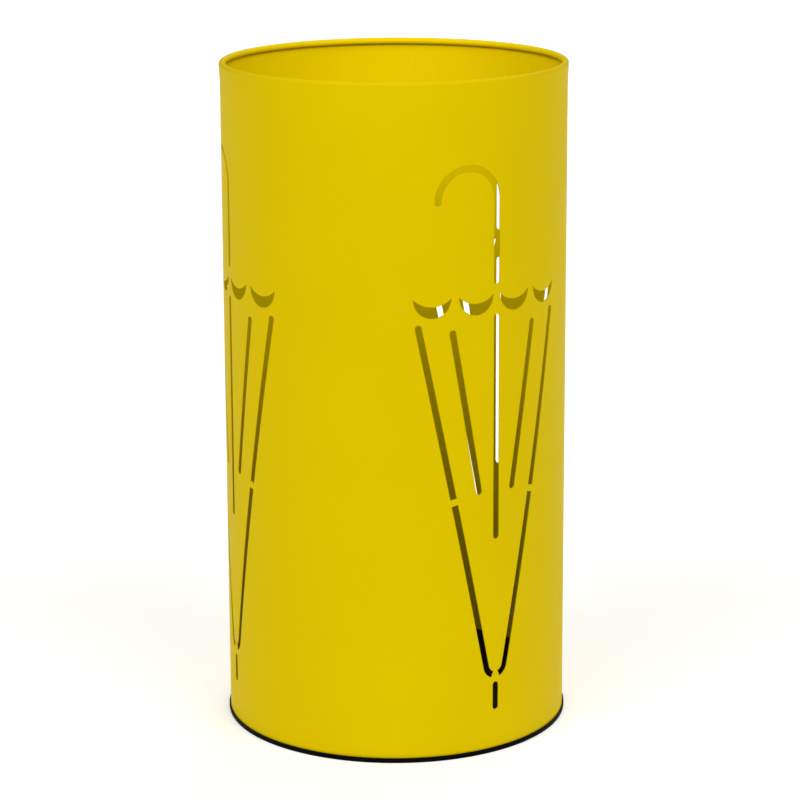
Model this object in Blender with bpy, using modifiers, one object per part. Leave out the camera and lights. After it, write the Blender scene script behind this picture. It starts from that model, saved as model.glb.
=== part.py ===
"""Umbrella stand: a perforated steel sheet rolled into a tube, with a pressed base plate, a plastic foot
ring round its lower edge and a drip tray that lifts out through the mouth.

Metres, +Z up. The origin is on the floor, on the tube's axis. The middle umbrella cut-out faces -Y
and the welded seam is opposite it, at +Y.

Run with: blender --background --python part.py
"""

import math

import bmesh
import bpy
from mathutils import Vector

MM = 0.001

# Driving dimensions
BODY_RADIUS = 127.5 * MM
HEIGHT = 498.0 * MM
SHEET = 0.8 * MM
CLEARANCE = 0.3 * MM
FACETS = 72

# Curled rim: the sheet's upper edge rolled inwards
CURL_RADIUS = 2.4 * MM
CURL_SWEEP = math.radians(270)
CURL_STEPS = 6

# Foot ring: an edging with a groove that takes the tube's lower edge
RING_RADIUS = BODY_RADIUS + 1.2 * MM
RING_BORE = BODY_RADIUS - 4.0 * MM
RING_PAD = 1.8 * MM
RING_LIP = 3.7 * MM
RING_EDGE = 0.6 * MM
SHEET_FOOT = RING_PAD + CLEARANCE

# Base plate: a shallow pressed pan inside the tube, just above the ring
PLATE_UNDERSIDE = RING_LIP + CLEARANCE
PLATE_TOP = PLATE_UNDERSIDE + SHEET
PLATE_RADIUS = BODY_RADIUS - SHEET - CLEARANCE
PLATE_FLANGE_TOP = 12.0 * MM
PLATE_CORNER = 2.0 * MM
PLATE_BEAD_RADIUS = 70.0 * MM
PLATE_BEAD_HALF = 6.0 * MM
PLATE_BEAD_DEPTH = 1.0 * MM

# Drip tray: a moulded saucer with concentric ribs that keep the umbrella tips out of the water
TRAY_UNDERSIDE = PLATE_TOP + CLEARANCE
TRAY_WALL = 1.2 * MM
TRAY_FOOT_RADIUS = 114.0 * MM
TRAY_LIP_RADIUS = 121.2 * MM
TRAY_LIP = 2.4 * MM
TRAY_LIP_SKIRT = 2.0 * MM
TRAY_LIP_EDGE = 0.6 * MM
TRAY_TOP = 23.5 * MM
TRAY_CORNER = 2.5 * MM
TRAY_RIBS = [28.0 * MM, 56.0 * MM, 84.0 * MM]
TRAY_RIB_HEIGHT = 1.6 * MM
TRAY_RIB_HALF = 1.3 * MM

# Umbrella cut-out, drawn flat: x from its middle line, z above the floor
MOTIF_PITCH = math.radians(105.7)
SLOT_HALF = 2.4 * MM
FERRULE = (35.1 * MM, 51.6 * MM)
LOWER_SHAFT = (165.6 * MM, 327.3 * MM)
UPPER_SHAFT_FOOT = 353.9 * MM
HOOK_RADIUS = 23.2 * MM
HOOK_CENTRE = 412.9 * MM
SCALLOP_TIPS = 344.4 * MM
SCALLOP_RADIUS = 13.8 * MM
SCALLOP_RISE = 5.6 * MM
SCALLOP_PITCH = 33.6 * MM
OUTER_RIB_TOP = Vector((60.6 * MM, 323.7 * MM))
OUTER_RIB_SLOPE = math.radians(11.54)
BRIDGE = (192.2 * MM, 197.2 * MM)
POINT_RADIUS = 8.2 * MM
POINT_CUT = 2.8 * MM
INNER_RIB_TOP = Vector((35.4 * MM, 318.9 * MM))
INNER_RIB_FOOT = Vector((14.7 * MM, 200.9 * MM))
CAP_STEPS = 6
HOOK_STEPS = 12
POINT_STEPS = 5
SCALLOP_STEPS = 10
SCALLOP_TOP_STEPS = 6

# How the sheet's mesh is cleaned: the finest cut, the shortest edge kept, the narrowest sliver kept
CUT_TOLERANCE = 0.0001 * MM
SHORTEST_EDGE = 0.01 * MM
SLIVER = 0.12 * MM
FLAT_ENOUGH = math.radians(1)

# Finishes: colours are linear red, green and blue
COAT_YELLOW = (0.76, 0.56, 0.0)
RING_BLACK = (0.012, 0.012, 0.012)
TRAY_BLACK = (0.016, 0.016, 0.016)
COAT_ROUGHNESS = 0.45
RING_ROUGHNESS = 0.35
TRAY_ROUGHNESS = 0.5


def clear_scene():
    for obj in list(bpy.data.objects):
        bpy.data.objects.remove(obj)


def new_collection(name):
    collection = bpy.data.collections.new(name)
    bpy.context.scene.collection.children.link(collection)
    return collection


def new_material(name, colour, roughness, metallic=0.0):
    material = bpy.data.materials.new(name)
    material.use_nodes = True
    shader = material.node_tree.nodes["Principled BSDF"]
    shader.inputs["Base Color"].default_value = (*colour, 1.0)
    shader.inputs["Roughness"].default_value = roughness
    shader.inputs["Metallic"].default_value = metallic
    return material


def new_object(name, mesh, collection, material=None):
    obj = bpy.data.objects.new(name, mesh)
    if material is not None:
        obj.data.materials.append(material)
    collection.objects.link(obj)
    return obj


# The flat drawing of the umbrella


def arc(centre, radius, start, end, steps):
    """Points along an arc of a circle, both ends included, angles in radians."""
    angles = [start + (end - start) * i / steps for i in range(steps + 1)]
    return [centre + radius * Vector((math.cos(a), math.sin(a))) for a in angles]


def slot(line, round_start=True, round_end=True):
    """The closed outline of a slot of even width along a centre line, with round or square ends."""
    sides = []
    for i, point in enumerate(line):
        before = line[max(i - 1, 0)]
        after = line[min(i + 1, len(line) - 1)]
        along = (after - before).normalized()
        sides.append((point, Vector((-along.y, along.x))))
    left = [point + SLOT_HALF * across for point, across in sides]
    right = [point - SLOT_HALF * across for point, across in sides]
    far_end = cap(line[-1], sides[-1][1], round_end)
    near_end = cap(line[0], -sides[0][1], round_start)
    return left + far_end + right[::-1] + near_end


def cap(centre, across, is_round):
    """The points of a round end between its two corners. A square end has none."""
    if not is_round:
        return []
    start = math.atan2(across.y, across.x)
    return arc(centre, SLOT_HALF, start, start - math.pi, CAP_STEPS)[1:-1]


def scallop(middle):
    """A crescent: a half circle below, and a flatter arc through the same two tips above."""
    centre = Vector((middle, SCALLOP_TIPS))
    below = arc(centre, SCALLOP_RADIUS, math.pi, 2 * math.pi, SCALLOP_STEPS)
    flat_radius = (SCALLOP_RADIUS**2 + SCALLOP_RISE**2) / (2 * SCALLOP_RISE)
    half_angle = math.asin(SCALLOP_RADIUS / flat_radius)
    flat_centre = centre + Vector((0, flat_radius - SCALLOP_RISE))
    down = -math.pi / 2
    above = arc(flat_centre, flat_radius, down + half_angle, down - half_angle, SCALLOP_TOP_STEPS)
    return below + above[1:-1]


def along_outer_rib(z):
    """The point of the outer rib's centre line at a height."""
    return Vector((OUTER_RIB_TOP.x - (OUTER_RIB_TOP.y - z) * math.tan(OUTER_RIB_SLOPE), z))


def point_curve():
    """The round lower end of the closed canopy, tangent to the outer rib and cut short of the middle."""
    slope = OUTER_RIB_SLOPE
    meet = along_outer_rib(0).x / math.tan(slope)
    centre = Vector((0, POINT_RADIUS / math.sin(slope) - meet))
    last = -math.acos(POINT_CUT / POINT_RADIUS)
    return arc(centre, POINT_RADIUS, -slope, last, POINT_STEPS)


def mirrored(outline):
    return [Vector((-p.x, p.y)) for p in reversed(outline)]


def umbrella():
    """All the outlines of one umbrella, around x = 0."""
    hook = arc(Vector((-HOOK_RADIUS, HOOK_CENTRE)), HOOK_RADIUS, 0, math.pi, HOOK_STEPS)
    single = [
        slot([Vector((0, z)) for z in FERRULE]),
        slot([Vector((0, z)) for z in LOWER_SHAFT]),
        slot([Vector((0, UPPER_SHAFT_FOOT))] + hook),
    ]
    paired = [
        slot([OUTER_RIB_TOP, along_outer_rib(BRIDGE[1])], round_end=False),
        slot([along_outer_rib(BRIDGE[0])] + point_curve(), round_start=False, round_end=False),
        slot([INNER_RIB_TOP, INNER_RIB_FOOT]),
        scallop(0.5 * SCALLOP_PITCH),
        scallop(1.5 * SCALLOP_PITCH),
    ]
    return single + paired + [mirrored(outline) for outline in paired]


# The tube


def add_outline(curve, points):
    spline = curve.splines.new("POLY")
    spline.points.add(len(points) - 1)
    for slot_point, point in zip(spline.points, points):
        slot_point.co = (point.x, point.y, 0, 1)
    spline.use_cyclic_u = True


def flat_blank(collection):
    """The sheet before rolling, as a flat mesh with the three umbrellas cut out."""
    half = math.pi * BODY_RADIUS
    top = HEIGHT - CURL_RADIUS + CURL_SWEEP * CURL_RADIUS
    curve = bpy.data.curves.new("blank", "CURVE")
    curve.dimensions = "2D"
    curve.fill_mode = "BOTH"
    corners = [(-half, SHEET_FOOT), (half, SHEET_FOOT), (half, top), (-half, top)]
    add_outline(curve, [Vector(corner) for corner in corners])
    for turn in (-1, 0, 1):
        shift = Vector((turn * MOTIF_PITCH * BODY_RADIUS, 0))
        for outline in umbrella():
            add_outline(curve, [point + shift for point in outline])
    guide = new_object("blank_outline", curve, collection)
    bpy.context.view_layer.update()
    evaluated = guide.evaluated_get(bpy.context.evaluated_depsgraph_get())
    mesh = bpy.data.meshes.new_from_object(evaluated)
    bpy.data.objects.remove(guide)
    return mesh


def score(blank, along, places):
    """Cuts the flat mesh along straight lines, which become its fold lines."""
    for place in places:
        everything = blank.verts[:] + blank.edges[:] + blank.faces[:]
        bmesh.ops.bisect_plane(
            blank, geom=everything, dist=CUT_TOLERANCE, plane_co=along * place, plane_no=along)


def rolled(point):
    """Where a point of the flat sheet's outer face lies on the tube, whose facets are flat."""
    step = 2 * math.pi / FACETS
    place = point.x / BODY_RADIUS / step
    facet = math.floor(place + 1e-6)
    share = place - facet
    curl_start = HEIGHT - CURL_RADIUS
    curl = max(point.y - curl_start, 0) / CURL_RADIUS
    radius = BODY_RADIUS - CURL_RADIUS + CURL_RADIUS * math.cos(curl)
    height = min(point.y, curl_start) + CURL_RADIUS * math.sin(curl)
    ends = [Vector((math.sin(a), -math.cos(a), 0)) for a in (facet * step, (facet + 1) * step)]
    across = ends[0].lerp(ends[1], share) * radius
    return Vector((across.x, across.y, height))


def make_body_shell(collection, material):
    mesh = flat_blank(collection)
    blank = bmesh.new()
    blank.from_mesh(mesh)
    bmesh.ops.remove_doubles(blank, verts=blank.verts, dist=CUT_TOLERANCE)
    bmesh.ops.dissolve_degenerate(blank, edges=blank.edges, dist=SHORTEST_EDGE / 10)
    facet_width = 2 * math.pi * BODY_RADIUS / FACETS
    folds = [(k - FACETS // 2) * facet_width for k in range(1, FACETS)]
    score(blank, Vector((1, 0, 0)), folds)
    curl_start = HEIGHT - CURL_RADIUS
    curl_step = CURL_SWEEP * CURL_RADIUS / CURL_STEPS
    score(blank, Vector((0, 1, 0)), [curl_start + k * curl_step for k in range(CURL_STEPS)])
    bmesh.ops.remove_doubles(blank, verts=blank.verts, dist=SLIVER)
    for vertex in blank.verts:
        vertex.co = rolled(vertex.co)
    bmesh.ops.remove_doubles(blank, verts=blank.verts, dist=SHORTEST_EDGE)
    bmesh.ops.dissolve_degenerate(blank, edges=blank.edges, dist=SHORTEST_EDGE)
    bmesh.ops.dissolve_limit(blank, angle_limit=FLAT_ENOUGH, verts=blank.verts, edges=blank.edges)
    bmesh.ops.recalc_face_normals(blank, faces=blank.faces)
    largest = max(blank.faces, key=lambda face: face.calc_area())
    if largest.normal.dot(largest.calc_center_median()) < 0:
        bmesh.ops.reverse_faces(blank, faces=blank.faces)
    blank.to_mesh(mesh)
    blank.free()
    shell = new_object("body_shell", mesh, collection, material)
    solidify = shell.modifiers.new("sheet_thickness", "SOLIDIFY")
    solidify.thickness = SHEET
    solidify.offset = -1
    solidify.use_even_offset = True
    return shell


# Turned parts


def turned(name, profile, closed, collection, material):
    """A solid of revolution about Z from (radius, height) points that run down its outer side."""
    mesh = bpy.data.meshes.new(name)
    edges = [(i, i + 1) for i in range(len(profile) - 1)]
    if closed:
        edges.append((len(profile) - 1, 0))
    mesh.from_pydata([(radius, 0, height) for radius, height in profile], edges, [])
    obj = new_object(name, mesh, collection, material)
    screw = obj.modifiers.new("turn", "SCREW")
    screw.steps = FACETS
    screw.render_steps = FACETS
    screw.use_merge_vertices = True
    screw.merge_threshold = SHORTEST_EDGE
    screw.use_smooth_shade = True
    return obj


def fillet(centre, radius, start, end, steps=3):
    """Profile points round a corner, angles in degrees."""
    points = arc(Vector(centre), radius, math.radians(start), math.radians(end), steps)
    return [(p.x, p.y) for p in points]


def make_base_plate(collection, material):
    corner_centre = (PLATE_RADIUS - PLATE_CORNER, PLATE_UNDERSIDE + PLATE_CORNER)
    bead = [
        (PLATE_BEAD_RADIUS - PLATE_BEAD_HALF, 0),
        (PLATE_BEAD_RADIUS - PLATE_BEAD_HALF / 2, PLATE_BEAD_DEPTH),
        (PLATE_BEAD_RADIUS + PLATE_BEAD_HALF / 2, PLATE_BEAD_DEPTH),
        (PLATE_BEAD_RADIUS + PLATE_BEAD_HALF, 0),
    ]
    profile = [(0, PLATE_TOP)]
    profile += [(radius, PLATE_TOP - depth) for radius, depth in bead]
    profile += fillet(corner_centre, PLATE_CORNER - SHEET, -90, 0)
    profile += [(PLATE_RADIUS - SHEET, PLATE_FLANGE_TOP), (PLATE_RADIUS, PLATE_FLANGE_TOP)]
    profile += fillet(corner_centre, PLATE_CORNER, 0, -90)
    profile += [(radius, PLATE_UNDERSIDE - depth) for radius, depth in reversed(bead)]
    profile += [(0, PLATE_UNDERSIDE)]
    turned("base_plate", profile, False, collection, material)


def make_base_ring(collection, material):
    groove_inside = BODY_RADIUS - SHEET - CLEARANCE
    groove_outside = BODY_RADIUS + CLEARANCE
    bevel = RING_EDGE / 2
    profile = [
        (RING_BORE, RING_EDGE),
        (RING_BORE, RING_LIP),
        (groove_inside, RING_LIP),
        (groove_inside, RING_PAD),
        (groove_outside, RING_PAD),
        (groove_outside, RING_LIP),
        (RING_RADIUS - bevel, RING_LIP),
        (RING_RADIUS, RING_LIP - RING_EDGE),
        (RING_RADIUS, RING_EDGE),
        (RING_RADIUS - bevel, 0),
        (RING_BORE + RING_EDGE, 0),
    ]
    turned("base_ring", profile, True, collection, material)


def make_drip_tray(collection, material):
    """The saucer stands on the base plate. Its parent empty marks the line that it lifts along."""
    top = TRAY_TOP - TRAY_UNDERSIDE
    wall_top = TRAY_LIP_RADIUS - TRAY_LIP
    corner_centre = (TRAY_FOOT_RADIUS - TRAY_CORNER, TRAY_WALL + TRAY_CORNER)
    profile = [(0, TRAY_WALL)]
    for radius in TRAY_RIBS:
        profile += [
            (radius - TRAY_RIB_HALF, TRAY_WALL),
            (radius - TRAY_RIB_HALF / 2, TRAY_WALL + TRAY_RIB_HEIGHT),
            (radius + TRAY_RIB_HALF / 2, TRAY_WALL + TRAY_RIB_HEIGHT),
            (radius + TRAY_RIB_HALF, TRAY_WALL),
        ]
    profile += fillet(corner_centre, TRAY_CORNER, -90, -25)
    profile += [
        (wall_top, top - TRAY_LIP_EDGE),
        (wall_top + TRAY_LIP_EDGE, top),
        (TRAY_LIP_RADIUS - TRAY_LIP_EDGE, top),
        (TRAY_LIP_RADIUS, top - TRAY_LIP_EDGE),
        (TRAY_LIP_RADIUS, top - TRAY_LIP_SKIRT),
        (TRAY_LIP_RADIUS - TRAY_WALL, top - TRAY_LIP_SKIRT),
    ]
    profile += fillet(corner_centre, TRAY_CORNER + TRAY_WALL, -25, -90)
    profile += [(0, 0)]
    lift = bpy.data.objects.new("tray_lift", None)
    lift.location = (0, 0, TRAY_UNDERSIDE)
    collection.objects.link(lift)
    tray = turned("drip_tray", profile, False, collection, material)
    tray.parent = lift


def main():
    clear_scene()
    stand = new_collection("umbrella_stand")
    make_body_shell(stand, new_material("yellow_shell_coat", COAT_YELLOW, COAT_ROUGHNESS))
    make_base_plate(stand, new_material("yellow_plate_coat", COAT_YELLOW, COAT_ROUGHNESS))
    make_base_ring(stand, new_material("black_ring_plastic", RING_BLACK, RING_ROUGHNESS))
    make_drip_tray(stand, new_material("black_tray_plastic", TRAY_BLACK, TRAY_ROUGHNESS))


main()
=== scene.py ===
"""Umbrella stand: the finished surfaces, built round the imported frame.

A powder-coated steel sheet with three umbrella cut-outs is drawn flat, given its thickness and rounded
edges, and rolled into a tube. Under it are the pressed base plate and the push-on foot ring, and inside it
is the moulded drip tray. Flat drawings are in millimetres, everything else is in metres.
"""

import math

import bmesh
import bpy
import numpy as np
from mathutils import Matrix, Vector


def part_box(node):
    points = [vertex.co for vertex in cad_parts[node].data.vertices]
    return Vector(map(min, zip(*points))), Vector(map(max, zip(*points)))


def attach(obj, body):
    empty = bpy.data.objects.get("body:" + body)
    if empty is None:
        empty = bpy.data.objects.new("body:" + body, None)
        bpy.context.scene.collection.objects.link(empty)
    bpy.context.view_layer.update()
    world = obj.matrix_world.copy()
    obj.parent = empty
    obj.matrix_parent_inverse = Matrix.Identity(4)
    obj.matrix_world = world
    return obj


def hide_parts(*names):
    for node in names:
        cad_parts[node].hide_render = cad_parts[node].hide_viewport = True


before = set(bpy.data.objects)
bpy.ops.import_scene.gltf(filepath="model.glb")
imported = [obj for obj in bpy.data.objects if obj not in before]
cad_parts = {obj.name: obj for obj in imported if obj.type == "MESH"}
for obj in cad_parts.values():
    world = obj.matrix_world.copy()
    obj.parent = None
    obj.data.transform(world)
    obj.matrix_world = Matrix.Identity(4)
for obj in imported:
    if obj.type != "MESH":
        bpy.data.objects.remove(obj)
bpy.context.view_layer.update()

MM = 0.001

# Sizes read from the frame
SHELL_LOW, SHELL_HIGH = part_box("body_shell")
RING_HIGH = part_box("base_ring")[1]
PLATE_LOW, PLATE_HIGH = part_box("base_plate")
TRAY_LOW, TRAY_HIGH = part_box("drip_tray")
TUBE_RADIUS = SHELL_HIGH.x / MM
SHEET_FOOT = SHELL_LOW.z / MM
TUBE_TOP = SHELL_HIGH.z / MM

# The sheet, in millimetres
SHEET = 0.8
EDGE_ROUND = 0.25
EDGE_STEPS = 2
FLAT_FACE = 0.99
CURL_RADIUS = 2.4
CURL_SWEEP = math.radians(285)
CURL_ROWS = 20
SWELL = 0.6
SWELL_DEPTH = 13.0
WELD_WIDTH = 1.6
WELD_HEIGHT = 0.22
WELD_INSIDE = 0.15  # how much of the weld still shows on the inner face
ROLLING_WAVE = 0.12
# Each wave in the rolled wall: lobes round the tube, where it starts, twist per millimetre, share
WAVES = ((3, 0.9, 1 / 170, 0.5), (5, 2.1, -1 / 95, 0.3), (11, 0.0, 1 / 60, 0.2))
WAVE_FADE = 60.0

# The sheet's grid and its clean-up, in millimetres
COLUMNS = 360
ROW_HEIGHT = 12.0
FIRST_ROW = 3.0
ROWS_UNDER_CURL = (1.5, 3, 5, 7, 9, 11)
WELD_LINES = (0.5, 1.0, 1.5, 2.0, 2.6, 3.2, 4.0)
SAME_PLACE = 0.01
FILL_MERGE = 0.001
GRID_MERGE = 0.02
SHORTEST_EDGE = 0.005
CUT_TOLERANCE = 0.0001
STRAIGHT = math.radians(0.5)

# The umbrella cut-out, in millimetres: x from its middle line, z above the floor
MOTIF_COUNT = 3
MOTIF_PITCH = math.radians(105.7) * TUBE_RADIUS
SLOT_HALF = 2.4
FERRULE = (35.1, 51.6)
LOWER_SHAFT = (165.6, 327.3)
UPPER_SHAFT_FOOT = 353.9
HOOK_RADIUS = 23.2
HOOK_CENTRE = 412.9
SCALLOP_TIPS = 344.4
SCALLOP_RADIUS = 13.8
SCALLOP_RISE = 5.6
SCALLOP_PITCH = 33.6
OUTER_RIB_TOP = Vector((60.6, 323.7))
OUTER_RIB_SLOPE = math.radians(11.54)
BRIDGE = (192.2, 197.2)
POINT_RADIUS = 8.2
POINT_CUT = 2.8
INNER_RIB_TOP = Vector((35.4, 318.9))
INNER_RIB_FOOT = Vector((14.7, 200.9))
CAP_STEPS = 12
HOOK_STEPS = 48
POINT_STEPS = 10
SCALLOP_STEPS = 28
SCALLOP_TOP_STEPS = 18

# The foot ring, in millimetres
RING_CLEARANCE = 0.3
RING_BORE = TUBE_RADIUS - 4.0
RING_ROUND = 0.5
RING_JOINT = 0.12
RING_STEPS = 288
RING_LIP_STEPS = 10
RING_SHARP = math.radians(40)
RING_MERGE = 1e-6  # in metres

# The base plate and the tray, in millimetres
PLATE_CORNER = 2.0
PLATE_BEAD_RADIUS = 70.0
PLATE_BEAD_HALF = 6.0
PLATE_BEAD_DEPTH = 1.0
PLATE_BEAD_STEPS = 8
TRAY_WALL = 1.2
TRAY_FOOT_RADIUS = 114.0
TRAY_LIP = 2.4
TRAY_CORNER = 2.5
TRAY_RIBS = (28.0, 56.0, 84.0)
TRAY_RIB_HEIGHT = 1.6
TRAY_RIB_HALF = 1.3
TRAY_RIB_CROWN = 1.0
TRAY_RIB_FOOT = 0.8
TRAY_RIB_HEEL = Vector((0.2, 0.15))
TRAY_RIB_STEPS = 8
TRAY_LIP_ROUND = 1.0
TRAY_LIP_DROP = 2.0
TRAY_LIP_INSIDE = 0.4
TRAY_WALL_TURN = -20  # degrees, where the corner's round meets the leaning wall
TRAY_LIP_TURNS = (165, 60)  # degrees, where the lip's two rounds leave the wall and the skirt
TRAY_LIP_INSIDE_STEPS = 3
ON_AXIS = 0.000001
TURNED_STEPS = 240
TURNED_SHARP = math.radians(60)
FILLET_STEPS = 6

# The finishes
COAT_THICK = "#D9BE00"
COAT_THIN = "#D3B800"
# Painted shade: the greener hue of the shaded inner wall, deep inside the tube
COAT_SHADE_INSIDE = "#D3C100"
COAT_GRAIN = "#CFB400"
COAT_EDGE = "#B69C00"
COAT_RUBBED = "#E3CB30"
COAT_SHEEN = "#FFE860"
COAT_GLOSS = 0.03
GRAIN_SHOWS = 0.22
EDGE_SHOWS = 0.4
WELD_SHOWS = 0.3
RUB_SHOWS = 0.14
RUB_POLISHES = 0.15
MOUTH_ZONE = (110.0, 15.0)  # millimetres under the rim
INSIDE_ZONE = (0.5, 0.7)  # millimetres inside the outer face
EDGING_BLACK = ("#020202", "#060605")
EDGING_GLOSS = 0.035
MOULDING_BLACK = ("#040404", "#0A0A09")
MOULDING_GLOSS = 0.25
PAPER_WHITE = ("#F7F7F5", "#F3F3F1")

# The studio, in metres, millimetres of lens and degrees
FLOOR_SIZE = 40.0
FLOOR_GAP = 0.0001
CAMERA_AZIMUTH = -34.6
CAMERA_DISTANCE = 2.0513
CAMERA_HEIGHT = 0.7659
CAMERA_YAW = 0.105
CAMERA_PITCH = 13.157
CAMERA_ROLL = -0.226
CAMERA_LENS = 126.5
CAMERA_SENSOR = 36
CAMERA_SHIFT = -0.075
CAMERA_REACH = 60
ROOM_LIGHT = 0.25
FLOOR_GLOW = 0.4
SOFTBOX_SPREAD = 45
SOFTBOX_SWING = 44
SOFTBOX_ELEVATION = 38
LEFT_SOFTBOX = 1.18
RIGHT_SOFTBOX = 1.08
BACK_SOFTBOX = 0.55
MOUTH_LIGHT = 0.15
MOUTH_LIGHT_SIZE = 0.1
MOUTH_LIGHT_RISE = 0.14
MOUTH_LIGHT_SPREAD = 90
MOUTH_LIGHT_AIM = 0.1


def linear(hex_colour):
    """A hex sRGB colour as linear red, green, blue and alpha."""
    parts = [int(hex_colour[i:i + 2], 16) / 255 for i in (1, 3, 5)]
    return tuple(c / 12.92 if c <= 0.04045 else ((c + 0.055) / 1.055) ** 2.4 for c in parts) + (1.0,)


def add_node(tree, kind, sockets=None, **settings):
    """A new node with its settings, and each named input linked or set."""
    node = tree.nodes.new(kind)
    for name, value in settings.items():
        setattr(node, name, value)
    for socket, value in (sockets or {}).items():
        if isinstance(value, bpy.types.NodeSocket):
            tree.links.new(value, node.inputs[socket])
        else:
            node.inputs[socket].default_value = value
    return node


# Drawing the umbrella flat


def arc(centre, radius, start, end, steps):
    """Points along part of a circle, both ends among them."""
    angles = [start + (end - start) * i / steps for i in range(steps + 1)]
    return [centre + radius * Vector((math.cos(a), math.sin(a))) for a in angles]


def cap(centre, across, is_round):
    """The points of a slot's round end between its two corners. A square end has none."""
    if not is_round:
        return []
    start = math.atan2(across.y, across.x)
    return arc(centre, SLOT_HALF, start, start - math.pi, CAP_STEPS)[1:-1]


def slot(line, round_start=True, round_end=True):
    """The closed outline of a slot of even width along a centre line."""
    sides = []
    for i, point in enumerate(line):
        before = line[max(i - 1, 0)]
        after = line[min(i + 1, len(line) - 1)]
        along = (after - before).normalized()
        sides.append((point, Vector((-along.y, along.x))))
    left = [point + SLOT_HALF * across for point, across in sides]
    right = [point - SLOT_HALF * across for point, across in sides]
    far_end = cap(line[-1], sides[-1][1], round_end)
    near_end = cap(line[0], -sides[0][1], round_start)
    return left + far_end + right[::-1] + near_end


def scallop(middle):
    """A crescent: a half circle below, and a flatter arc through the same two tips above."""
    centre = Vector((middle, SCALLOP_TIPS))
    below = arc(centre, SCALLOP_RADIUS, math.pi, 2 * math.pi, SCALLOP_STEPS)
    flat_radius = (SCALLOP_RADIUS**2 + SCALLOP_RISE**2) / (2 * SCALLOP_RISE)
    half_angle = math.asin(SCALLOP_RADIUS / flat_radius)
    flat_centre = centre + Vector((0, flat_radius - SCALLOP_RISE))
    down = -math.pi / 2
    above = arc(flat_centre, flat_radius, down + half_angle, down - half_angle, SCALLOP_TOP_STEPS)
    return below + above[1:-1]


def along_outer_rib(z):
    """The point of the outer rib's centre line at a height."""
    return Vector((OUTER_RIB_TOP.x - (OUTER_RIB_TOP.y - z) * math.tan(OUTER_RIB_SLOPE), z))


def point_curve():
    """The round lower end of the closed canopy, tangent to the outer rib and cut short of the middle."""
    meet = along_outer_rib(0).x / math.tan(OUTER_RIB_SLOPE)
    centre = Vector((0, POINT_RADIUS / math.sin(OUTER_RIB_SLOPE) - meet))
    last = -math.acos(POINT_CUT / POINT_RADIUS)
    return arc(centre, POINT_RADIUS, -OUTER_RIB_SLOPE, last, POINT_STEPS)


def mirrored(outline):
    return [Vector((-p.x, p.y)) for p in reversed(outline)]


def umbrella():
    """All the outlines of one closed umbrella, around x = 0."""
    hook = arc(Vector((-HOOK_RADIUS, HOOK_CENTRE)), HOOK_RADIUS, 0, math.pi, HOOK_STEPS)
    single = [
        slot([Vector((0, z)) for z in FERRULE]),
        slot([Vector((0, z)) for z in LOWER_SHAFT]),
        slot([Vector((0, UPPER_SHAFT_FOOT))] + hook),
    ]
    paired = [
        slot([OUTER_RIB_TOP, along_outer_rib(BRIDGE[1])], round_end=False),
        slot([along_outer_rib(BRIDGE[0])] + point_curve(), round_start=False, round_end=False),
        slot([INNER_RIB_TOP, INNER_RIB_FOOT]),
        scallop(0.5 * SCALLOP_PITCH),
        scallop(1.5 * SCALLOP_PITCH),
    ]
    return single + paired + [mirrored(outline) for outline in paired]


def grown(outline, by):
    """The outline moved outwards by an even distance, point for point."""
    points = np.array([tuple(p) for p in outline])
    along = np.roll(points, -1, axis=0) - points
    area = np.sum(points[:, 0] * np.roll(points[:, 1], -1) - points[:, 1] * np.roll(points[:, 0], -1))
    out = np.column_stack([along[:, 1], -along[:, 0]]) * np.sign(area)
    out /= np.linalg.norm(out, axis=1)[:, None]
    before = np.roll(out, 1, axis=0)
    mitre = (out + before) / (1 + np.sum(out * before, axis=1))[:, None]
    return points + by * mitre


# Cutting the sheet


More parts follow.
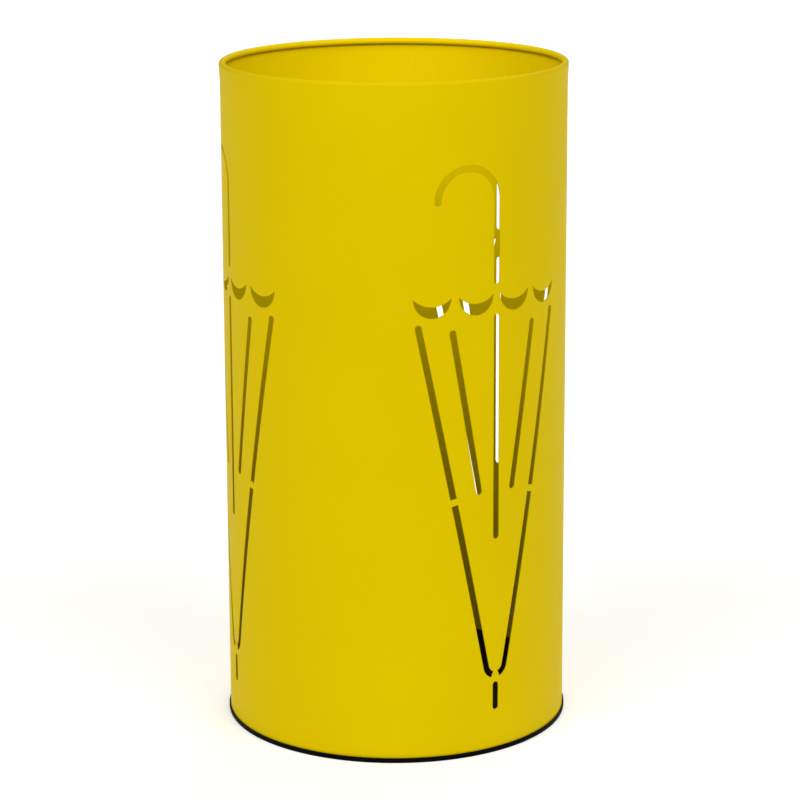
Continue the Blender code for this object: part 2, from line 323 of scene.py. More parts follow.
def sheet_cutting_tree():
    """Geometry Nodes: repeats one umbrella's outlines along the sheet and fills the sheet round them."""
    tree = bpy.data.node_groups.new("sheet_with_cut_outs", "GeometryNodeTree")
    tree.is_modifier = True
    face = tree.interface
    face.new_socket("Geometry", in_out="INPUT", socket_type="NodeSocketGeometry")
    face.new_socket("Cut-outs", in_out="INPUT", socket_type="NodeSocketInt")
    for name in ("Pitch", "Sheet Width", "Sheet Foot", "Sheet Height"):
        face.new_socket(name, in_out="INPUT", socket_type="NodeSocketFloat")
    face.new_socket("Material", in_out="INPUT", socket_type="NodeSocketMaterial")
    face.new_socket("Geometry", in_out="OUTPUT", socket_type="NodeSocketGeometry")
    given = add_node(tree, "NodeGroupInput").outputs
    outlines = add_node(tree, "GeometryNodeMeshToCurve", {"Mesh": given["Geometry"]})
    gaps = add_node(tree, "ShaderNodeMath", {0: given["Cut-outs"], 1: 1.0}, operation="SUBTRACT")
    span = add_node(tree, "ShaderNodeMath", {0: gaps.outputs[0], 1: given["Pitch"]}, operation="MULTIPLY")
    first = add_node(tree, "ShaderNodeMath", {0: span.outputs[0], 1: -0.5}, operation="MULTIPLY")
    start = add_node(tree, "ShaderNodeCombineXYZ", {"X": first.outputs[0]})
    step = add_node(tree, "ShaderNodeCombineXYZ", {"X": given["Pitch"]})
    places = add_node(tree, "GeometryNodeMeshLine", {
        "Count": given["Cut-outs"], "Start Location": start.outputs[0], "Offset": step.outputs[0]})
    copies = add_node(tree, "GeometryNodeInstanceOnPoints", {
        "Points": places.outputs[0], "Instance": outlines.outputs[0]})
    real = add_node(tree, "GeometryNodeRealizeInstances", {0: copies.outputs[0]})
    border = add_node(tree, "GeometryNodeCurvePrimitiveQuadrilateral", {
        "Width": given["Sheet Width"], "Height": given["Sheet Height"]})
    half_height = add_node(tree, "ShaderNodeMath", {
        0: given["Sheet Height"], 1: 0.5, 2: given["Sheet Foot"]}, operation="MULTIPLY_ADD")
    raised = add_node(tree, "ShaderNodeCombineXYZ", {"Y": half_height.outputs[0]})
    placed = add_node(tree, "GeometryNodeTransform", {
        "Geometry": border.outputs[0], "Translation": raised.outputs[0]})
    joined = add_node(tree, "GeometryNodeJoinGeometry")
    tree.links.new(real.outputs[0], joined.inputs[0])
    tree.links.new(placed.outputs[0], joined.inputs[0])
    filled = add_node(tree, "GeometryNodeFillCurve", {"Curve": joined.outputs[0]})
    whole = add_node(tree, "GeometryNodeRealizeInstances", {0: filled.outputs[0]})
    coated = add_node(tree, "GeometryNodeSetMaterial", {
        "Geometry": whole.outputs[0], "Material": given["Material"]})
    add_node(tree, "NodeGroupOutput", {"Geometry": coated.outputs[0]})
    return tree


def run_nodes(mesh, tree, values):
    """The plain mesh that a node tree makes of a mesh. Values go in by the inputs' names."""
    maker = bpy.data.objects.new("maker", mesh)
    bpy.context.scene.collection.objects.link(maker)
    modifier = maker.modifiers.new("nodes", "NODES")
    modifier.node_group = tree
    for item in tree.interface.items_tree:
        if item.in_out == "INPUT" and item.name in values:
            modifier[item.identifier] = values[item.name]
    maker.update_tag()
    made = bpy.data.meshes.new_from_object(maker.evaluated_get(bpy.context.evaluated_depsgraph_get()))
    maker.modifiers.remove(modifier)
    bpy.data.objects.remove(maker)
    return made


def outline_mesh(outlines):
    mesh = bpy.data.meshes.new("outlines")
    points = []
    edges = []
    for outline in outlines:
        first = len(points)
        count = len(outline)
        points += [(x, y, 0) for x, y in outline]
        edges += [(first + i, first + (i + 1) % count) for i in range(count)]
    mesh.from_pydata(points, edges, [])
    return mesh


def sheet_length():
    """How far the flat sheet's outer face runs from the floor to the curl's hidden end."""
    return TUBE_TOP - CURL_RADIUS + CURL_SWEEP * CURL_RADIUS


def score(flat, along, places):
    """Cuts the flat sheet along straight lines, and marks them as seams."""
    for place in places:
        everything = flat.verts[:] + flat.edges[:] + flat.faces[:]
        cut = bmesh.ops.bisect_plane(
            flat, geom=everything, dist=CUT_TOLERANCE, plane_co=along * place, plane_no=along)
        for part in cut["geom_cut"]:
            if isinstance(part, bmesh.types.BMEdge):
                part.seam = True


def flat_sheet(material):
    """The flat sheet, gridded, with its cut-outs drawn larger by the rounding of their edges.

    Gives the points, the faces, and the directed edges round each cut-out and along foot and top.
    """
    half = math.pi * TUBE_RADIUS
    foot = SHEET_FOOT + EDGE_ROUND
    top = sheet_length() - EDGE_ROUND
    outlines = outline_mesh([grown(outline, EDGE_ROUND) for outline in umbrella()])
    filled = run_nodes(outlines, sheet_cutting_tree(), {
        "Cut-outs": MOTIF_COUNT, "Pitch": MOTIF_PITCH, "Sheet Width": 2 * half,
        "Sheet Foot": foot, "Sheet Height": top - foot, "Material": material})
    flat = bmesh.new()
    flat.from_mesh(filled)
    bmesh.ops.remove_doubles(flat, verts=flat.verts, dist=FILL_MERGE)
    curl_start = TUBE_TOP - CURL_RADIUS
    rows = [foot + FIRST_ROW + ROW_HEIGHT * i for i in range(int((curl_start - foot) / ROW_HEIGHT))]
    rows += [curl_start - d for d in ROWS_UNDER_CURL]
    rows += [curl_start + CURL_RADIUS * CURL_SWEEP * i / CURL_ROWS for i in range(CURL_ROWS)]
    columns = [half * (2 * i / COLUMNS - 1) for i in range(1, COLUMNS)]
    columns += [side * (half - d) for d in WELD_LINES for side in (-1, 1)]
    score(flat, Vector((0, 1, 0)), rows)
    score(flat, Vector((1, 0, 0)), columns)
    bmesh.ops.dissolve_limit(
        flat, angle_limit=STRAIGHT, verts=flat.verts, edges=flat.edges, delimit={"SEAM"})
    bmesh.ops.remove_doubles(flat, verts=flat.verts, dist=GRID_MERGE)
    bmesh.ops.dissolve_degenerate(flat, edges=flat.edges, dist=SHORTEST_EDGE)
    flat.normal_update()
    for face in flat.faces:
        if face.normal.z < 0:
            face.normal_flip()
    flat.verts.index_update()
    points = np.array([(v.co.x, v.co.y) for v in flat.verts])
    faces = [[v.index for v in face.verts] for face in flat.faces]
    rim = []
    for loop in (loop for face in flat.faces for loop in face.loops):
        a, b = loop.vert, loop.link_loop_next.vert
        on_side = all(abs(abs(vert.co.x) - half) < SAME_PLACE for vert in (a, b))
        if loop.edge.is_boundary and not on_side:
            rim.append((a.index, b.index))
    flat.free()
    return points, faces, rim


def ways_into_gap(points, edge_points):
    """For each point on a cut edge, the way from the flat face's edge to the gap's true edge."""
    ways = np.zeros_like(points)
    foot = SHEET_FOOT + EDGE_ROUND
    top = sheet_length() - EDGE_ROUND
    true, large = [], []
    for i in range(MOTIF_COUNT):
        shift = np.array([(i - (MOTIF_COUNT - 1) / 2) * MOTIF_PITCH, 0])
        for outline in umbrella():
            true.append(np.array([tuple(p) for p in outline]) + shift)
            large.append(grown(outline, EDGE_ROUND) + shift)
    start = np.vstack(large)
    end = np.vstack([np.roll(outline, -1, axis=0) for outline in large])
    true_start = np.vstack(true)
    true_end = np.vstack([np.roll(outline, -1, axis=0) for outline in true])
    along = end - start
    for i in edge_points:
        point = points[i]
        if abs(point[1] - foot) < SAME_PLACE:
            ways[i] = (0, -EDGE_ROUND)
            continue
        if abs(point[1] - top) < SAME_PLACE:
            ways[i] = (0, EDGE_ROUND)
            continue
        share = np.sum((point - start) * along, axis=1) / np.sum(along * along, axis=1)
        share = np.clip(share, 0, 1)
        away = np.linalg.norm(start + along * share[:, None] - point, axis=1)
        k = int(np.argmin(away))
        ways[i] = true_start[k] + (true_end[k] - true_start[k]) * share[k] - point
    return ways


def thick_sheet(material):
    """The flat sheet with its thickness and round edges.

    Each point has a place along the sheet, a depth below its outer face, and its normal as parts
    along the sheet, up the sheet and out of it.
    """
    points, faces, rim = flat_sheet(material)
    count = len(points)
    edge_points = sorted({i for edge in rim for i in edge})
    ways = ways_into_gap(points, edge_points)
    place = [points, points]
    depth = [np.zeros(count), np.full(count, SHEET)]
    normal = [np.tile((0.0, 0.0, 1.0), (count, 1)), np.tile((0.0, 0.0, -1.0), (count, 1))]
    turns = [math.pi / 2 * k / EDGE_STEPS for k in range(1, EDGE_STEPS + 1)]
    profile = [(turn, 1) for turn in turns] + [(turn, -1) for turn in reversed(turns)]
    edge_ways = ways[edge_points]
    unit = edge_ways / np.linalg.norm(edge_ways, axis=1)[:, None]
    for turn, side in profile:
        place.append(points[edge_points] + edge_ways * math.sin(turn))
        inset = EDGE_ROUND * (1 - math.cos(turn))
        depth.append(np.full(len(edge_points), inset if side > 0 else SHEET - inset))
        lift = np.full((len(edge_points), 1), side * math.cos(turn))
        normal.append(np.hstack([unit * math.sin(turn), lift]))
    order = {point: k for k, point in enumerate(edge_points)}
    rings = len(profile)

    def chain(i):
        between = [2 * count + ring * len(edge_points) + order[i] for ring in range(rings)]
        return [i] + between + [count + i]

    all_faces = faces + [[count + i for i in reversed(face)] for face in faces]
    for a, b in rim:
        from_a, from_b = chain(a), chain(b)
        for k in range(rings + 1):
            all_faces.append([from_b[k], from_a[k], from_a[k + 1], from_b[k + 1]])
    return np.vstack(place), np.concatenate(depth), np.vstack(normal), all_faces


# Rolling the sheet


def smooth_step(share):
    share = np.clip(share, 0, 1)
    return share * share * (3 - 2 * share)


def weld_share(along):
    """1 on the middle of the welded seam, falling to 0 beside it."""
    away = math.pi * TUBE_RADIUS - np.abs(along)
    return np.exp(-((away / WELD_WIDTH) ** 2))


def rolled(place, depth, normal):
    """Where the sheet's points lie, and their normals, once it is rolled and its top is curled in."""
    along, up = place[:, 0], place[:, 1]
    turn = along / TUBE_RADIUS
    curl_start = TUBE_TOP - CURL_RADIUS
    curl = np.clip((up - curl_start) / CURL_RADIUS, 0, None)
    swell = SWELL * smooth_step((up - curl_start + SWELL_DEPTH) / SWELL_DEPTH)
    wave = sum(share * np.sin(lobes * turn + start + up * twist) for lobes, start, twist, share in WAVES)
    wave *= ROLLING_WAVE * smooth_step((curl_start - up) / WAVE_FADE)
    weld = WELD_HEIGHT * weld_share(along) * np.where(normal[:, 2] < 0, -WELD_INSIDE, 1)
    base = TUBE_RADIUS + swell + wave + weld
    radius = base - CURL_RADIUS + CURL_RADIUS * np.cos(curl) - depth * np.cos(curl)
    height = np.minimum(up, curl_start) + (CURL_RADIUS - depth) * np.sin(curl)
    out = np.column_stack([np.sin(turn), -np.cos(turn), np.zeros_like(turn)])
    sideways = np.column_stack([np.cos(turn), np.sin(turn), np.zeros_like(turn)])
    upright = np.array([0, 0, 1.0])
    points = out * radius[:, None] + upright * height[:, None]
    face_out = out * np.cos(curl)[:, None] + upright * np.sin(curl)[:, None]
    face_up = upright * np.cos(curl)[:, None] - out * np.sin(curl)[:, None]
    normals = sideways * normal[:, :1] + face_up * normal[:, 1:2] + face_out * normal[:, 2:3]
    return points * MM, normals


def steel_tube(material):
    """The rolled tube, from the flat sheet. Its two side edges become one line of points at the weld."""
    place, depth, normal, faces = thick_sheet(material)
    half = math.pi * TUBE_RADIUS
    keys = {}
    for i in np.where(np.abs(place[:, 0] + half) < SAME_PLACE)[0]:
        keys[(round(place[i, 1], 2), round(depth[i], 3))] = int(i)
    swap = {}
    for i in np.where(np.abs(place[:, 0] - half) < SAME_PLACE)[0]:
        swap[int(i)] = keys[(round(place[i, 1], 2), round(depth[i], 3))]
    points, normals = rolled(place, depth, normal)
    kept = [i for i in range(len(place)) if i not in swap]
    number = {old: new for new, old in enumerate(kept)}
    faces = [[number[swap.get(i, i)] for i in face] for face in faces]
    mesh = bpy.data.meshes.new("steel_tube")
    mesh.from_pydata(points[kept], [], faces)
    mesh.materials.append(material)
    cut_edge = (np.abs(normal[:, 2]) < FLAT_FACE).astype(np.float32)
    add_shade(mesh, "cut_edge", cut_edge[kept])
    weld = weld_share(place[:, 0]) * np.where(depth > SHEET / 2, WELD_INSIDE, 1)
    add_shade(mesh, "weld", weld[kept].astype(np.float32))
    mesh.shade_smooth()
    mesh.normals_split_custom_set_from_vertices(normals[kept])
    return new_piece("steel_tube", mesh)


def add_shade(mesh, name, values):
    """Stores one number for each point, for a material to read."""
    mesh.attributes.new(name, "FLOAT", "POINT").data.foreach_set("value", values)


def new_piece(name, mesh):
    mesh.name = name
    piece = bpy.data.objects.new(name, mesh)
    bpy.context.scene.collection.objects.link(piece)
    return piece


# Turned pieces


def fillet(centre, radius, start, end, steps=FILLET_STEPS):
    """Profile points round a corner, angles in degrees."""
    points = arc(Vector(centre), radius, math.radians(start), math.radians(end), steps)
    return [(p.x, p.y) for p in points]


def turned(name, profile, material):
    """A solid of revolution from (radius, height) points in millimetres that run down its outer side."""
    turned_mesh = bmesh.new()
    rings = []
    for radius, height in profile:
        if radius < ON_AXIS:
            rings.append([turned_mesh.verts.new((0, 0, height * MM))])
            continue
        turns = [2 * math.pi * k / TURNED_STEPS for k in range(TURNED_STEPS)]
        ring = [(radius * MM * math.cos(a), radius * MM * math.sin(a), height * MM) for a in turns]
        rings.append([turned_mesh.verts.new(place) for place in ring])
    for upper, lower in zip(rings, rings[1:]):
        for k in range(TURNED_STEPS):
            corners = [upper[k % len(upper)], lower[k % len(lower)]]
            corners += [lower[(k + 1) % len(lower)], upper[(k + 1) % len(upper)]]
            turned_mesh.faces.new(list(dict.fromkeys(corners)))
    bmesh.ops.recalc_face_normals(turned_mesh, faces=turned_mesh.faces)
    mesh = bpy.data.meshes.new(name)
    turned_mesh.to_mesh(mesh)
    turned_mesh.free()
    mesh.materials.append(material)
    mesh.shade_smooth()
    mesh.set_sharp_from_angle(angle=TURNED_SHARP)
    return new_piece(name, mesh)


# Finishes


def new_finish(name):
    """A material with its node tree, its shader and the place on the piece, in metres."""
    material = bpy.data.materials.new(name)
    material.use_nodes = True
    tree = material.node_tree
    place = add_node(tree, "ShaderNodeTexCoord").outputs["Object"]
    return material, tree, tree.nodes["Principled BSDF"], place


def distance_from_axis(tree, place):
    """How far a point lies from the tube's upright axis."""
    flat = add_node(tree, "ShaderNodeVectorMath", {0: place, 1: (1, 1, 0)}, operation="MULTIPLY")
    return add_node(tree, "ShaderNodeVectorMath", {0: flat.outputs[0]}, operation="LENGTH").outputs["Value"]


def powder_coated_steel():
    """Polyester powder sprayed on steel and baked: one strong, even, satin colour with a fine orange peel.

    The powder lies a little thicker and thinner over some centimetres, and thinner still on the cut edges.
    Deep inside, below the mouth, the inner face is painted greener, as painted shade: the hue of the shaded
    inner wall. Inside the mouth are faint upright marks, where umbrellas slide in and out.
    """
    material, tree, shader, place = new_finish("yellow powder-coated steel")
    shader.inputs["Specular IOR Level"].default_value = COAT_GLOSS
    shader.inputs["Specular Tint"].default_value = linear(COAT_SHEEN)

    cloud = add_node(tree, "ShaderNodeTexNoise", {"Vector": place, "Scale": 1 / (70 * MM), "Detail": 2.0})
    even = add_node(tree, "ShaderNodeMix", {
        0: cloud.outputs[0], 6: linear(COAT_THIN), 7: linear(COAT_THICK)}, data_type="RGBA")
    # Single powder grains are about 0.04 mm. They are drawn 1.2 mm wide, as a faint mottle.
    grain = add_node(tree, "ShaderNodeTexNoise", {"Vector": place, "Scale": 1 / (1.2 * MM), "Detail": 1.0})
    grain_share = add_node(tree, "ShaderNodeMapRange", {
        "Value": grain.outputs[0], "From Min": 0.3, "From Max": 0.7, "To Max": GRAIN_SHOWS})
    mottled = add_node(tree, "ShaderNodeMix", {
        0: grain_share.outputs[0], 6: even.outputs[2], 7: linear(COAT_GRAIN)}, data_type="RGBA")

    height = add_node(tree, "ShaderNodeSeparateXYZ", {0: place}).outputs["Z"]
    near_mouth = add_node(tree, "ShaderNodeMapRange", {
        "Value": height,
        "From Min": (TUBE_TOP - MOUTH_ZONE[0]) * MM, "From Max": (TUBE_TOP - MOUTH_ZONE[1]) * MM})
    inside = add_node(tree, "ShaderNodeMapRange", {
        "Value": distance_from_axis(tree, place),
        "From Min": (TUBE_RADIUS - INSIDE_ZONE[0]) * MM, "From Max": (TUBE_RADIUS - INSIDE_ZONE[1]) * MM})
    # Deep inside, below the mouth, the inner face is painted greener: painted shade, the hue of the shaded
    # inner wall.
    deep = add_node(tree, "ShaderNodeMath", {0: 1.0, 1: near_mouth.outputs[0]}, operation="SUBTRACT")
    shade_mask_deep_inside = add_node(tree, "ShaderNodeMath", {
        0: deep.outputs[0], 1: inside.outputs[0]}, operation="MULTIPLY")
    shade_tinted = add_node(tree, "ShaderNodeMix", {
        0: shade_mask_deep_inside.outputs[0], 6: mottled.outputs[2], 7: linear(COAT_SHADE_INSIDE)}, data_type="RGBA")

    cut_edge = add_node(tree, "ShaderNodeAttribute", attribute_name="cut_edge").outputs["Fac"]
    weld = add_node(tree, "ShaderNodeAttribute", attribute_name="weld").outputs["Fac"]
    weld_tint = add_node(tree, "ShaderNodeMath", {0: weld, 1: WELD_SHOWS}, operation="MULTIPLY")
    edge_share = add_node(tree, "ShaderNodeMath", {
        0: cut_edge, 1: EDGE_SHOWS, 2: weld_tint.outputs[0]}, operation="MULTIPLY_ADD")
    edged = add_node(tree, "ShaderNodeMix", {
        0: edge_share.outputs[0], 6: shade_tinted.outputs[2], 7: linear(COAT_EDGE)}, data_type="RGBA")

    upright = add_node(tree, "ShaderNodeMapping", {
        "Vector": place, "Scale": (1 / (2.2 * MM), 1 / (2.2 * MM), 1 / (55 * MM))})
    streaks = add_node(tree, "ShaderNodeTexNoise", {
        "Vector": upright.outputs[0], "Scale": 1.0, "Detail": 2.0})
    rubbed = add_node(tree, "ShaderNodeMapRange", {
        "Value": streaks.outputs[0], "From Min": 0.58, "From Max": 0.74})
    rubbed_mouth = add_node(tree, "ShaderNodeMath", {
        0: rubbed.outputs[0], 1: near_mouth.outputs[0]}, operation="MULTIPLY")
    rub = add_node(tree, "ShaderNodeMath", {
        0: rubbed_mouth.outputs[0], 1: inside.outputs[0]}, operation="MULTIPLY")
    rub_share = add_node(tree, "ShaderNodeMath", {0: rub.outputs[0], 1: RUB_SHOWS}, operation="MULTIPLY")
    worn = add_node(tree, "ShaderNodeMix", {
        0: rub_share.outputs[0], 6: edged.outputs[2], 7: linear(COAT_RUBBED)}, data_type="RGBA")
    tree.links.new(worn.outputs[2], shader.inputs["Base Color"])

    sheen_patches = add_node(tree, "ShaderNodeTexNoise", {
        "Vector": place, "Scale": 1 / (25 * MM), "Detail": 3.0})
    satin = add_node(tree, "ShaderNodeMapRange", {
        "Value": sheen_patches.outputs[0],
        "From Min": 0.3, "From Max": 0.7, "To Min": 0.48, "To Max": 0.58})
    polished = add_node(tree, "ShaderNodeMath", {
        0: rub.outputs[0], 1: -RUB_POLISHES, 2: satin.outputs[0]}, operation="MULTIPLY_ADD")
    tree.links.new(polished.outputs[0], shader.inputs["Roughness"])

    peel = add_node(tree, "ShaderNodeTexNoise", {"Vector": place, "Scale": 1 / (2.4 * MM), "Detail": 2.0})
    peel_bump = add_node(tree, "ShaderNodeBump", {"Height": peel.outputs[0], "Distance": 0.055 * MM})
    # The weld was ground along the seam before coating, so the dressing marks run up and down in it.
    along_seam = add_node(tree, "ShaderNodeMapping", {
        "Vector": place, "Scale": (1 / (0.9 * MM), 1 / (0.9 * MM), 1 / (9 * MM))})
    dressed = add_node(tree, "ShaderNodeTexNoise", {
        "Vector": along_seam.outputs[0], "Scale": 1.0, "Detail": 2.0})
    weld_marks = add_node(tree, "ShaderNodeMath", {0: dressed.outputs[0], 1: weld}, operation="MULTIPLY")
    weld_bump = add_node(tree, "ShaderNodeBump", {
        "Height": weld_marks.outputs[0], "Distance": 0.3 * MM, "Normal": peel_bump.outputs[0]})
    tree.links.new(weld_bump.outputs[0], shader.inputs["Normal"])
    return material


def extruded_pvc():
    """Soft black PVC drawn through a die: a dull sheen, with fine lines that run along its length."""
    material, tree, shader, place = new_finish("black extruded PVC edging")
    shader.inputs["Specular IOR Level"].default_value = EDGING_GLOSS
    height = add_node(tree, "ShaderNodeSeparateXYZ", {0: place}).outputs["Z"]
    section = add_node(tree, "ShaderNodeCombineXYZ", {"X": distance_from_axis(tree, place), "Y": height})
    # Die lines are about 0.1 mm apart. They are drawn 0.45 mm apart.
    lines = add_node(tree, "ShaderNodeTexNoise", {
        "Vector": section.outputs[0], "Scale": 1 / (0.45 * MM), "Detail": 2.0})
    bloom = add_node(tree, "ShaderNodeTexNoise", {"Vector": place, "Scale": 1 / (18 * MM), "Detail": 3.0})
    colour = add_node(tree, "ShaderNodeMix", {
        0: bloom.outputs[0], 6: linear(EDGING_BLACK[0]), 7: linear(EDGING_BLACK[1])}, data_type="RGBA")
    dull = add_node(tree, "ShaderNodeMapRange", {
        "Value": lines.outputs[0], "From Min": 0.3, "From Max": 0.7, "To Min": 0.46, "To Max": 0.6})
    bump = add_node(tree, "ShaderNodeBump", {"Height": lines.outputs[0], "Distance": 0.05 * MM})
    tree.links.new(colour.outputs[2], shader.inputs["Base Color"])
    tree.links.new(dull.outputs[0], shader.inputs["Roughness"])
    tree.links.new(bump.outputs[0], shader.inputs["Normal"])
    return material


def moulded_polypropylene():
    """Black polypropylene from a spark-eroded mould: a fine matt grain, glossier where it flowed last."""
    material, tree, shader, place = new_finish("black moulded polypropylene")
    shader.inputs["Specular IOR Level"].default_value = MOULDING_GLOSS
    # The eroded grain is about 0.1 mm. It is drawn 0.7 mm wide.
    grain = add_node(tree, "ShaderNodeTexVoronoi", {"Vector": place, "Scale": 1 / (0.7 * MM)})
    flow = add_node(tree, "ShaderNodeTexNoise", {
        "Vector": place, "Scale": 1 / (30 * MM), "Detail": 3.0, "Distortion": 0.6})
    colour = add_node(tree, "ShaderNodeMix", {
        0: flow.outputs[0], 6: linear(MOULDING_BLACK[0]), 7: linear(MOULDING_BLACK[1])}, data_type="RGBA")
    matt = add_node(tree, "ShaderNodeMapRange", {
        "Value": flow.outputs[0], "From Min": 0.3, "From Max": 0.7, "To Min": 0.48, "To Max": 0.64})
    bump = add_node(tree, "ShaderNodeBump", {"Height": grain.outputs[0], "Distance": 0.06 * MM})
    tree.links.new(colour.outputs[2], shader.inputs["Base Color"])
    tree.links.new(matt.outputs[0], shader.inputs["Roughness"])
    tree.links.new(bump.outputs[0], shader.inputs["Normal"])
    return material


def light_table_paper():
    """Seamless white paper, lit a little from below: even, matt and nearly without texture."""
    material, tree, shader, place = new_finish("white seamless paper")
    shader.inputs["Emission Color"].default_value = linear("#FFFFFF")
    shader.inputs["Emission Strength"].default_value = FLOOR_GLOW
    fibre = add_node(tree, "ShaderNodeTexNoise", {"Vector": place, "Scale": 1 / (8 * MM), "Detail": 4.0})
    colour = add_node(tree, "ShaderNodeMix", {
        0: fibre.outputs[0], 6: linear(PAPER_WHITE[0]), 7: linear(PAPER_WHITE[1])}, data_type="RGBA")
    dull = add_node(tree, "ShaderNodeMapRange", {"Value": fibre.outputs[0], "To Min": 0.85, "To Max": 0.95})
    tree.links.new(colour.outputs[2], shader.inputs["Base Color"])
    tree.links.new(dull.outputs[0], shader.inputs["Roughness"])
    return material


# The foot ring


def ring_sweeping_tree():
    """Geometry Nodes: sweeps the edging's cross section round the tube's foot, with its ends butted."""
    tree = bpy.data.node_groups.new("edging_round_the_foot", "GeometryNodeTree")
    tree.is_modifier = True
    face = tree.interface
    face.new_socket("Geometry", in_out="INPUT", socket_type="NodeSocketGeometry")
    for name in ("Radius", "Joint Angle", "Sweep"):
        face.new_socket(name, in_out="INPUT", socket_type="NodeSocketFloat")
    face.new_socket("Steps", in_out="INPUT", socket_type="NodeSocketInt")
    face.new_socket("Material", in_out="INPUT", socket_type="NodeSocketMaterial")
    face.new_socket("Geometry", in_out="OUTPUT", socket_type="NodeSocketGeometry")
    given = add_node(tree, "NodeGroupInput").outputs
    section = add_node(tree, "GeometryNodeMeshToCurve", {"Mesh": given["Geometry"]})
    path = add_node(tree, "GeometryNodeCurveArc", {
        "Resolution": given["Steps"], "Radius": given["Radius"],
        "Start Angle": given["Joint Angle"], "Sweep Angle": given["Sweep"]})
    swept = add_node(tree, "GeometryNodeCurveToMesh", {
        "Curve": path.outputs[0], "Profile Curve": section.outputs[0], "Fill Caps": True})
    whole = add_node(tree, "GeometryNodeRealizeInstances", {0: swept.outputs[0]})
    coated = add_node(tree, "GeometryNodeSetMaterial", {
        "Geometry": whole.outputs[0], "Material": given["Material"]})
    add_node(tree, "NodeGroupOutput", {"Geometry": coated.outputs[0]})
    return tree


def foot_ring(material):
    """The extruded edging, pushed on the tube's lower edge. Its ends meet at the back, under the weld."""
    outside = RING_HIGH.x / MM
    lip = RING_HIGH.z / MM
    groove_outside = TUBE_RADIUS + RING_CLEARANCE
    groove_inside = TUBE_RADIUS - SHEET - RING_CLEARANCE
    pad = SHEET_FOOT - RING_CLEARANCE
    lip_middle = (outside + groove_outside) / 2
    lip_round = (outside - groove_outside) / 2
    profile = fillet((outside - RING_ROUND, RING_ROUND), RING_ROUND, 0, -90)
    profile += fillet((RING_BORE + RING_ROUND, RING_ROUND), RING_ROUND, -90, -180)
    profile += fillet((RING_BORE + RING_ROUND, lip - RING_ROUND), RING_ROUND, 180, 90)
    profile += [(groove_inside, lip), (groove_inside, pad), (groove_outside, pad)]
    profile += fillet((lip_middle, lip - lip_round), lip_round, 180, 0, RING_LIP_STEPS)
    section = [((radius - TUBE_RADIUS) * MM, -height * MM) for radius, height in profile]
    half_gap = RING_JOINT / 2 / TUBE_RADIUS
    mesh = run_nodes(outline_mesh([section]), ring_sweeping_tree(), {
        "Radius": TUBE_RADIUS * MM, "Joint Angle": math.pi / 2 + half_gap,
        "Sweep": 2 * math.pi - 2 * half_gap, "Steps": RING_STEPS, "Material": material})
    recalculated = bmesh.new()
    recalculated.from_mesh(mesh)
    bmesh.ops.remove_doubles(recalculated, verts=recalculated.verts, dist=RING_MERGE)
    bmesh.ops.recalc_face_normals(recalculated, faces=recalculated.faces)
    recalculated.to_mesh(mesh)
    recalculated.free()
    mesh.shade_smooth()
    mesh.set_sharp_from_angle(angle=RING_SHARP)
    return new_piece("foot_ring", mesh)


# The base plate and the tray


def pressed_plate(material):
    """The base plate: a shallow pan with a rolled-in stiffening bead, pressed from sheet."""
    under = PLATE_LOW.z / MM + PLATE_BEAD_DEPTH
    over = under + SHEET
    radius = PLATE_HIGH.x / MM
    corner = PLATE_CORNER
    centre = (radius - corner, under + corner)
    bead = []
    for k in range(-PLATE_BEAD_STEPS, PLATE_BEAD_STEPS + 1):
        share = k / PLATE_BEAD_STEPS
        dip = PLATE_BEAD_DEPTH * (1 + math.cos(math.pi * share)) / 2
        bead.append((PLATE_BEAD_RADIUS + PLATE_BEAD_HALF * share, dip))
    profile = [(0, over)]
    profile += [(r, over - dip) for r, dip in bead]
    profile += fillet(centre, corner - SHEET, -90, 0)
    profile += fillet((radius - SHEET / 2, PLATE_HIGH.z / MM - SHEET / 2), SHEET / 2, 180, 0)
    profile += fillet(centre, corner, 0, -90)
    profile += [(r, under - dip) for r, dip in reversed(bead)]
    profile += [(0, under)]
    return turned("pressed_base_plate", profile, material)


def moulded_tray(material):
    """The drip tray: a saucer with a rolled lip and three rings that hold umbrella tips off the water."""
    foot = TRAY_LOW.z / MM
    top = TRAY_HIGH.z / MM
    lip = TRAY_HIGH.x / MM
    floor = foot + TRAY_WALL
    wall_top = lip - TRAY_LIP
    centre = (TRAY_FOOT_RADIUS - TRAY_CORNER, floor + TRAY_CORNER)
    edge = TRAY_WALL / 2
    profile = [(0, floor)]
    for rib in TRAY_RIBS:
        crown = (rib, floor + TRAY_RIB_HEIGHT - TRAY_RIB_CROWN)
        heel = TRAY_RIB_HALF + TRAY_RIB_HEEL.x
        profile += [(rib - TRAY_RIB_HALF - TRAY_RIB_FOOT, floor), (rib - heel, floor + TRAY_RIB_HEEL.y)]
        profile += fillet(crown, TRAY_RIB_CROWN, 180, 0, TRAY_RIB_STEPS)
        profile += [(rib + heel, floor + TRAY_RIB_HEEL.y), (rib + TRAY_RIB_HALF + TRAY_RIB_FOOT, floor)]
    on_wall, on_skirt = TRAY_LIP_TURNS
    profile += fillet(centre, TRAY_CORNER, -90, TRAY_WALL_TURN)
    profile += fillet((wall_top + TRAY_LIP_ROUND, top - TRAY_LIP_ROUND), TRAY_LIP_ROUND, on_wall, 90)
    profile += fillet((lip - TRAY_LIP_ROUND, top - TRAY_LIP_ROUND), TRAY_LIP_ROUND, 90, 0)
    profile += fillet((lip - edge, top - TRAY_LIP_DROP), edge, 0, -180)
    under_lip = TRAY_WALL + TRAY_LIP_INSIDE
    profile += fillet(
        (wall_top + under_lip, top - under_lip), TRAY_LIP_INSIDE, on_skirt, on_wall, TRAY_LIP_INSIDE_STEPS)
    profile += fillet(centre, TRAY_CORNER + TRAY_WALL, TRAY_WALL_TURN, -90)
    profile += [(0, foot)]
    return turned("moulded_drip_tray", profile, material)


# The studio


def add_floor():
    bpy.ops.mesh.primitive_plane_add(size=FLOOR_SIZE, location=(0, 0, -FLOOR_GAP))
    floor = bpy.context.object
    floor.name = "floor"
    floor.data.materials.append(light_table_paper())


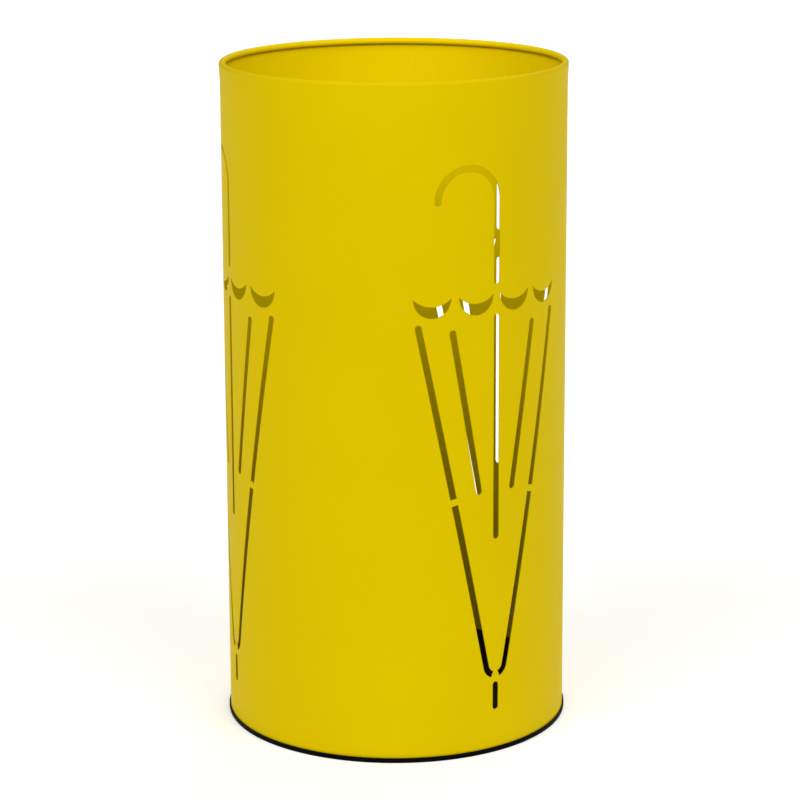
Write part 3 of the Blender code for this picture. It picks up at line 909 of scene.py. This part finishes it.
def add_soft_light(name, azimuth, strength):
    """A very large softbox, far off at one side of the camera and above it."""
    light = bpy.data.lights.new(name, "SUN")
    light.energy = strength
    light.angle = math.radians(SOFTBOX_SPREAD)
    lamp = bpy.data.objects.new(name, light)
    turn = math.radians(CAMERA_AZIMUTH + azimuth)
    rise = math.radians(SOFTBOX_ELEVATION)
    out = Vector((math.sin(turn) * math.cos(rise), -math.cos(turn) * math.cos(rise), math.sin(rise)))
    lamp.rotation_euler = (-out).to_track_quat("-Z", "Y").to_euler()
    bpy.context.scene.collection.objects.link(lamp)


def add_mouth_light():
    """A small softbox over the near side of the mouth, which lights the far inside wall."""
    light = bpy.data.lights.new("mouth_softbox", "AREA")
    light.size = MOUTH_LIGHT_SIZE
    light.energy = MOUTH_LIGHT
    light.spread = math.radians(MOUTH_LIGHT_SPREAD)
    lamp = bpy.data.objects.new("mouth_softbox", light)
    turn = math.radians(CAMERA_AZIMUTH)
    near = Vector((math.sin(turn), -math.cos(turn), 0)) * TUBE_RADIUS * MM
    lamp.location = near + Vector((0, 0, SHELL_HIGH.z + MOUTH_LIGHT_RISE))
    lamp.visible_camera = False
    aim = Vector((0, 0, SHELL_HIGH.z - MOUTH_LIGHT_AIM)) - near
    lamp.rotation_euler = (aim - lamp.location).to_track_quat("-Z", "Y").to_euler()
    bpy.context.scene.collection.objects.link(lamp)


def add_world(strength):
    world = bpy.data.worlds.new("studio walls")
    world.use_nodes = True
    background = world.node_tree.nodes["Background"]
    background.inputs["Color"].default_value = (1, 1, 1, 1)
    background.inputs["Strength"].default_value = strength
    bpy.context.scene.world = world


def add_camera():
    """The camera stands in front and to the left of the middle cut-out, and looks down a little."""
    swing = Matrix.Rotation(math.radians(CAMERA_AZIMUTH), 3, "Z")
    yaw, pitch, roll = (math.radians(a) for a in (CAMERA_YAW, CAMERA_PITCH, CAMERA_ROLL))
    forward = Vector((math.sin(yaw) * math.cos(pitch), math.cos(yaw) * math.cos(pitch), -math.sin(pitch)))
    level = Vector((math.cos(yaw), -math.sin(yaw), 0))
    above = level.cross(forward)
    right = math.cos(roll) * level + math.sin(roll) * above
    up = math.cos(roll) * above - math.sin(roll) * level
    turn = Matrix((swing @ right, swing @ up, swing @ -forward)).transposed()
    lens = bpy.data.cameras.new("camera")
    lens.lens = CAMERA_LENS
    lens.sensor_width = CAMERA_SENSOR
    lens.shift_y = CAMERA_SHIFT
    lens.clip_end = CAMERA_REACH
    camera = bpy.data.objects.new("camera", lens)
    stand_point = swing @ Vector((0, -CAMERA_DISTANCE, CAMERA_HEIGHT))
    camera.matrix_world = Matrix.Translation(stand_point) @ turn.to_4x4()
    bpy.context.scene.collection.objects.link(camera)
    bpy.context.scene.camera = camera


def main():
    add_camera()
    bpy.context.scene.view_settings.view_transform = "Standard"
    add_world(ROOM_LIGHT)
    add_floor()
    add_soft_light("left_softbox", -SOFTBOX_SWING, LEFT_SOFTBOX)
    add_soft_light("right_softbox", SOFTBOX_SWING, RIGHT_SOFTBOX)
    add_soft_light("back_softbox", 180 - SOFTBOX_SWING / 2, BACK_SOFTBOX)
    add_mouth_light()
    coat = powder_coated_steel()
    edging = extruded_pvc()
    moulding = moulded_polypropylene()
    tube = steel_tube(coat)
    plate = pressed_plate(coat)
    ring = foot_ring(edging)
    tray = moulded_tray(moulding)
    for piece, node, body, finish in (
        (tube, "body_shell", "stand", "shell_coat"),
        (plate, "base_plate", "stand", "plate_coat"),
        (ring, "base_ring", "stand", "ring_plastic"),
        (tray, "drip_tray", "tray", "tray_plastic"),
    ):
        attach(piece, body)
        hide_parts(node)


main()
